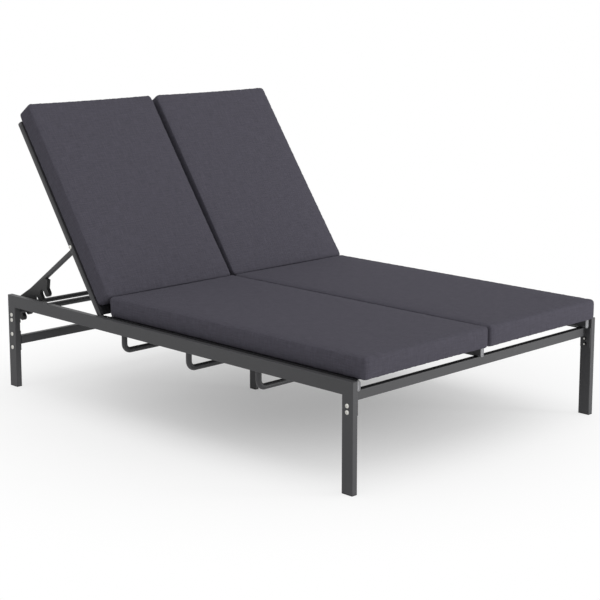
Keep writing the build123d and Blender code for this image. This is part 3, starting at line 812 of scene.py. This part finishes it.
class LOUNGER_OT_slings(bpy.types.Operator):
    """Stretches the mesh slings over the seats and the backrests"""
    bl_idname = "lounger.slings"
    bl_label = "Slings"

    def execute(self, context):
        sizes = context.scene.lounger_slings
        for side in SIDES:
            make_sling(f"{side}_seat_sling", sizes.seat_sag)
            backrest = f"{side}_backrest_"
            make_sling(backrest + "sling",
                       sizes.back_sag)
        return {"FINISHED"}


# Fittings

def bolt_head(sizes):
    """A dome head with a hexagon socket, its seat at height 0."""
    count, arc = 24, 5
    radius, height = sizes.bolt_radius, sizes.bolt_height
    land, lip, chamfer = 0.15 * height, 1.35 * sizes.socket, 0.1 * MM
    drill_radius, drill_depth = 0.1 * sizes.socket, 1.15 * sizes.socket_depth
    rings = [(radius, 0, 0), (radius, land, 0)]
    for n in range(1, arc + 1):
        reach = radius - (radius - lip) * n / arc
        rings.append((reach, land + (height - land) * math.sqrt(1 - (reach / radius) ** 2)
                      / math.sqrt(1 - (lip / radius) ** 2), 0))
    rings += [(sizes.socket, height - chamfer, 1), (sizes.socket, height - sizes.socket_depth, 1),
              (drill_radius, height - drill_depth, 1)]
    points, faces = [(0, 0, 0)], []
    for reach, level, hexagon in rings:
        for n in range(count):
            turn = 2 * math.pi * n / count
            flat = math.cos((turn + math.pi / 6) % (math.pi / 3) - math.pi / 6) if hexagon else 1
            points.append((reach / flat * math.cos(turn), reach / flat * math.sin(turn), level))
    for ring in range(len(rings) - 1):
        for n in range(count):
            a, b = 1 + ring * count + n, 1 + ring * count + (n + 1) % count
            faces.append((a, b, b + count, a + count))
    for n in range(count):
        faces.append((0, 1 + (n + 1) % count, 1 + n))
    last = 1 + (len(rings) - 1) * count
    faces.append(tuple(range(last, last + count)))
    mesh = new_mesh("bolt_head", points, faces, smooth=False)
    for polygon in mesh.polygons:
        polygon.use_smooth = count <= polygon.index < count * (arc + 1)
    return mesh


def make_bolts(node):
    """Bolts with socket heads in the place of the node's plain ones, by Geometry Nodes."""
    sizes = bpy.context.scene.lounger_fittings
    head_slack, shank_slack = 0.4 * MM, 0.1 * MM
    mesh = merged_copy(node)
    points = places(mesh)
    seats, turns, shanks, others = [], [], [], []
    for group in islands(mesh):
        own = points[group]
        middle = (own.min(axis=0) + own.max(axis=0)) / 2
        spread = np.hypot(own[:, 1] - middle[1], own[:, 2] - middle[2])
        wide = own[spread > sizes.bolt_radius - head_slack, 0]
        narrow = own[spread < sizes.shank_radius + shank_slack, 0]
        if not len(wide) or np.ptp(own[:, 0]) < 2 * sizes.bolt_height or not len(narrow):
            others.append(group)
            continue
        head = wide.mean()
        turn = 1 if head > middle[0] else -1
        tip = own[:, 0].min() if turn > 0 else own[:, 0].max()
        seat = (own[:, 0].max() if turn > 0 else own[:, 0].min()) - turn * sizes.bolt_height
        seats.append((seat, middle[1], middle[2]))
        turns.append((turn, 0, 0))
        shanks.append(abs(seat - tip))
    if not seats:
        raise RuntimeError("no bolts found in " + node)
    dots = bpy.data.meshes.new(node + "_sockets")
    dots.from_pydata(seats, [], [])
    dots.attributes.new("turn", "FLOAT_VECTOR", "POINT").data.foreach_set(
        "vector", np.array(turns, dtype=float).ravel())
    dots.attributes.new("shank", "FLOAT", "POINT").data.foreach_set("value", shanks)
    piece = link(node + "_sockets", dots)
    head = link("bolt_head", bolt_head(sizes))
    tree = new_tree("Bolts", {"Head": "NodeSocketObject", "Shank radius": "NodeSocketFloat"})
    given = add(tree, "NodeGroupInput")
    turn = add(tree, "GeometryNodeInputNamedAttribute", {"Name": "turn"}, data_type="FLOAT_VECTOR")
    shank = add(tree, "GeometryNodeInputNamedAttribute", {"Name": "shank"}, data_type="FLOAT")
    aim = add(tree, "FunctionNodeAlignRotationToVector", {"Vector": turn.outputs[0]}, axis="Z")
    dome = add(tree, "GeometryNodeObjectInfo", {"Object": given.outputs["Head"]})
    heads = add(tree, "GeometryNodeInstanceOnPoints",
                {"Points": given.outputs["Geometry"], "Instance": dome.outputs["Geometry"],
                 "Rotation": aim.outputs[0]})
    rod = add(tree, "GeometryNodeMeshCylinder", {"Vertices": 16, "Depth": 1,
                                                 "Radius": given.outputs["Shank radius"]})
    low = add(tree, "GeometryNodeTransform", {"Geometry": rod.outputs[0], "Translation": (0, 0, -0.5)})
    long = add(tree, "ShaderNodeCombineXYZ", {"X": 1, "Y": 1, "Z": shank.outputs[0]})
    rods = add(tree, "GeometryNodeInstanceOnPoints",
               {"Points": given.outputs["Geometry"], "Instance": low.outputs[0],
                "Rotation": aim.outputs[0], "Scale": long.outputs[0]})
    both = add(tree, "GeometryNodeJoinGeometry")
    tree.links.new(heads.outputs[0], both.inputs[0])
    tree.links.new(rods.outputs[0], both.inputs[0])
    close_tree(tree, both.outputs[0], finish("bright_zinc_plating"))
    run_tree(piece, tree, {"Head": head, "Shank radius": sizes.shank_radius})
    bpy.data.objects.remove(head)
    settle(piece, body_of(node), finish("bright_zinc_plating"))
    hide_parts(node)
    if others:
        keep = {int(n) for group in others for n in group}
        shell = bmesh.new()
        shell.from_mesh(mesh)
        gone = [vert for vert in shell.verts if vert.index not in keep]
        bmesh.ops.delete(shell, geom=gone, context="VERTS")
        shell.to_mesh(mesh)
        shell.free()
        rest = link(node + "_nuts", mesh)
        settle(rest, body_of(node), finish("bright_zinc_plating"))


def softened(node, width):
    """A copy of a CAD node with its sharp edges broken, in the node's place."""
    sharp = math.radians(40)
    piece = link(node + "_soft", merged_copy(node))
    rim = piece.modifiers.new("Edge", "BEVEL")
    rim.width = width
    rim.segments = 2
    rim.limit_method = "ANGLE"
    rim.angle_limit = sharp
    rim.harden_normals = True
    baked(piece)
    slot = next(part["material_slot"] for part in frame["record"]["subparts"] if part["node"] == node)
    settle(piece, body_of(node), finish(FINISHES[slot]))
    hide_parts(node)


def oval_ring(width, height, inset, count=40):
    """Points round a flat oval, made smaller all round by the inset."""
    radius = width / 2 - inset
    straight = height / 2 - width / 2
    ring = []
    for n in range(count):
        turn = 2 * math.pi * (n + 0.5) / count
        lift = straight if math.sin(turn) > 0 else -straight
        ring.append((radius * math.cos(turn), radius * math.sin(turn) + lift))
    return ring


def make_caps(node):
    """End caps with a rounded, raised rim round a sunk middle, in the place of the plain ones."""
    sizes = bpy.context.scene.lounger_fittings
    source = merged_copy(node)
    axes = directions(node)
    local = places(source) @ axes.T
    middle = (local.min(axis=0) + local.max(axis=0)) / 2
    # How far in and how high each ring of the rim lies, as shares of the lip and of the thickness
    rim = [(0, 0), (0, 0.5), (0.12, 0.78), (0.35, 0.95), (0.7, 1), (1, 1)]
    slope = 0.6 * sizes.cap_recess
    points, faces = [], []
    for group in islands(source):
        low, high = local[group].min(axis=0), local[group].max(axis=0)
        centre = (low + high) / 2
        out = 1 if centre[0] > middle[0] else -1
        base = low[0] if out > 0 else high[0]
        thick, width, height = high[0] - low[0], high[2] - low[2], high[1] - low[1]
        layers = [(sizes.cap_lip * inset, thick * level) for inset, level in rim]
        layers.append((sizes.cap_lip + slope, thick - sizes.cap_recess))
        start = len(points)
        for inset, level in layers:
            for across, up in oval_ring(width, height, inset):
                points.append(axes.T @ (base + out * level, centre[1] + up, centre[2] + across))
        count = (len(points) - start) // len(layers)
        for ring in range(len(layers) - 1):
            for n in range(count):
                a, b = start + ring * count + n, start + ring * count + (n + 1) % count
                face = (a, a + count, b + count, b)
                faces.append(face if out > 0 else face[::-1])
        first = tuple(range(start, start + count))
        last = tuple(n + count * (len(layers) - 1) for n in first)
        faces.append(first if out > 0 else first[::-1])
        faces.append(last[::-1] if out > 0 else last)
    mesh = new_mesh(node + "_rims", points, faces)
    shell = bmesh.new()
    shell.from_mesh(mesh)
    bmesh.ops.recalc_face_normals(shell, faces=shell.faces)
    shell.to_mesh(mesh)
    shell.free()
    piece = link(node + "_rims", mesh)
    settle(piece, body_of(node), finish("moulded_polyethylene"))
    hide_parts(node)


class LOUNGER_OT_fittings(bpy.types.Operator):
    """Details the bolts, end caps, combs and plates"""
    bl_idname = "lounger.fittings"
    bl_label = "Fittings"

    def execute(self, context):
        sizes = context.scene.lounger_fittings
        make_bolts("frame_bolts")
        make_caps("seat_tube_caps")
        for node in ("frame_nuts", "hinge_plates", "cross_bar_plates", "seat_tube_lugs"):
            softened(node, sizes.edge)
        for side in SIDES:
            make_bolts(f"{side}_strut_pivot_bolts")
            make_caps(f"{side}_backrest_tube_caps")
            for place in ("outer", "inner"):
                softened(f"{side}_strut_{place}_comb", sizes.comb_edge)
        return {"FINISHED"}


class LOUNGER_OT_finishes(bpy.types.Operator):
    """Gives every carried-over node its finish"""
    bl_idname = "lounger.finishes"
    bl_label = "Finishes"

    def execute(self, context):
        for part in frame["record"]["subparts"]:
            node = frame["nodes"][part["node"]]
            node.data.materials.clear()
            node.data.materials.append(finish(FINISHES[part["material_slot"]]))
        return {"FINISHED"}


# Studio

def make_lamp(name, kind, place, aim, power, size):
    """A soft studio lamp aimed at a point; its size is a width, or a sun's angle."""
    lamp = bpy.data.lights.new(name, kind)
    lamp.energy = power
    if kind == "SUN":
        lamp.angle = size
    else:
        lamp.shape = "DISK"
        lamp.size = size
    item = bpy.data.objects.new(name, lamp)
    bpy.context.scene.collection.objects.link(item)
    item.location = place
    item.rotation_euler = (Vector(aim) - Vector(place)).to_track_quat("-Z", "Y").to_euler()


def make_sky(strength):
    """Even studio light, plain white to the camera and in reflections."""
    world = bpy.data.worlds.new("Studio")
    bpy.context.scene.world = world
    world.use_nodes = True
    tree = world.node_tree
    tree.nodes.clear()
    level = ranged(tree, seen(tree), low=strength, high=1)
    sky = add(tree, "ShaderNodeBackground", {"Color": (1, 1, 1, 1), "Strength": level})
    add(tree, "ShaderNodeOutputWorld", {"Surface": sky.outputs[0]})


class LOUNGER_OT_studio(bpy.types.Operator):
    """Sets up the camera, the lights and the floor"""
    bl_idname = "lounger.studio"
    bl_label = "Studio"

    def execute(self, context):
        scene = context.scene
        sizes = scene.lounger_studio
        lens = bpy.data.cameras.new("Camera")
        lens.lens = lens.sensor_width * sizes.lens
        lens.shift_y = sizes.shift
        camera = bpy.data.objects.new("Camera", lens)
        scene.collection.objects.link(camera)
        camera.location = Vector(sizes.stand) + Vector((0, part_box("left_foot_leg")[0].y, 0))
        a, e = sizes.azimuth, sizes.elevation
        back = Vector((math.sin(a) * math.cos(e), -math.cos(a) * math.cos(e), math.sin(e)))
        camera.rotation_euler = back.to_track_quat("Z", "Y").to_euler()
        scene.camera = camera
        reach = sizes.floor_reach
        corners = [(-reach, -reach, 0), (reach, -reach, 0), (reach, reach, 0), (-reach, reach, 0)]
        floor = link("studio_floor", new_mesh("studio_floor", corners, [(0, 1, 2, 3)]))
        floor.data.materials.append(finish("studio_paper"))
        make_lamp("Key", "SUN", sizes.key_place, sizes.aim, sizes.key, sizes.key_angle)
        make_lamp("Side", "AREA", sizes.side_place, sizes.aim, sizes.side, sizes.side_width)
        make_sky(sizes.sky)
        scene.view_settings.view_transform = "Standard"
        return {"FINISHED"}


class LOUNGER_PT_panel(bpy.types.Panel):
    """Lists the steps of the lounger"""
    bl_label = "Double Chaise Lounger"
    bl_idname = "LOUNGER_PT_panel"
    bl_space_type = "VIEW_3D"
    bl_region_type = "UI"
    bl_category = "Lounger"

    def draw(self, context):
        for step in STEPS:
            self.layout.operator(step.bl_idname)


STEPS = (
    LOUNGER_OT_studio,
    LOUNGER_OT_finishes,
    LOUNGER_OT_cushions,
    LOUNGER_OT_slings,
    LOUNGER_OT_fittings,
)
GROUPS = {
    "lounger_cushions": CushionSizes,
    "lounger_slings": SlingSizes,
    "lounger_fittings": FittingSizes,
    "lounger_colours": FinishColours,
    "lounger_studio": StudioSizes,
}


def register():
    """Registers the settings, the steps and the panel."""
    for name, group in GROUPS.items():
        bpy.utils.register_class(group)
        setattr(bpy.types.Scene, name, bpy.props.PointerProperty(type=group))
    for step in STEPS:
        bpy.utils.register_class(step)
    bpy.utils.register_class(LOUNGER_PT_panel)


def unregister():
    """Removes what register added."""
    bpy.utils.unregister_class(LOUNGER_PT_panel)
    for step in reversed(STEPS):
        bpy.utils.unregister_class(step)
    for name, group in GROUPS.items():
        delattr(bpy.types.Scene, name)
        bpy.utils.unregister_class(group)


def main():
    """Builds everything in order."""
    register()
    for step in STEPS:
        group, name = step.bl_idname.split(".")
        getattr(getattr(bpy.ops, group), name)()


if __name__ == "__main__":
    main()
